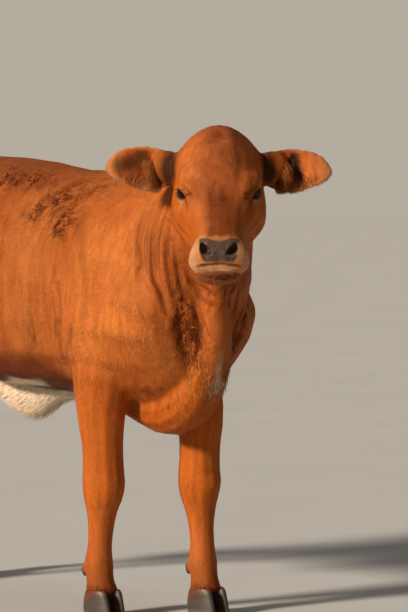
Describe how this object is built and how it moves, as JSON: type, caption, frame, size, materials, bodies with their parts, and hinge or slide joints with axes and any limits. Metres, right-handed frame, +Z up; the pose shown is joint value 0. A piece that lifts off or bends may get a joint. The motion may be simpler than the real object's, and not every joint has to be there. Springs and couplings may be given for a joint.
{
  "type": "calf, a young cow",
  "caption": "Still life-size model of a red beef calf standing on its four hooves, head turned to its right to look at the viewer, ears held out level, tail hanging.",
  "frame": {"origin": "on the floor under the middle of the whole animal's bounding box", "axes": "+X along the body towards the head, +Y to the calf's left, +Z up; the head is turned towards -Y"},
  "size_m": [1.5002, 0.4648, 1.1226],
  "materials": {
    "coat": "short glossy red-brown hair, cream under the belly and round the navel, over hide with a grey-brown nose",
    "tassel": "long wavy red-brown tail hair",
    "horn": "dull ringed hoof horn, dark grey-brown and paler at the wearing edge",
    "eye": "wet glossy near-black brown"
  },
  "bodies": {
    "root": {"ear_left": "coat", "ear_right": "coat", "eye_left": "eye", "eye_right": "eye", "fore_claw_inner_left": "horn", "fore_claw_inner_right": "horn", "fore_claw_outer_left": "horn", "fore_claw_outer_right": "horn", "fore_dewclaw_inner_left": "horn", "fore_dewclaw_inner_right": "horn", "fore_dewclaw_outer_left": "horn", "fore_dewclaw_outer_right": "horn", "foreleg_lower_left": "coat", "foreleg_lower_right": "coat", "foreleg_upper_left": "coat", "foreleg_upper_right": "coat", "head": "coat", "hind_claw_inner_left": "horn", "hind_claw_inner_right": "horn", "hind_claw_outer_left": "horn", "hind_claw_outer_right": "horn", "hind_dewclaw_inner_left": "horn", "hind_dewclaw_inner_right": "horn", "hind_dewclaw_outer_left": "horn", "hind_dewclaw_outer_right": "horn", "hindleg_lower_left": "coat", "hindleg_lower_right": "coat", "hindleg_upper_left": "coat", "hindleg_upper_right": "coat", "neck": "coat", "tail": "coat", "tail_switch": "tassel", "trunk": "coat"}
  },
  "joints": []
}
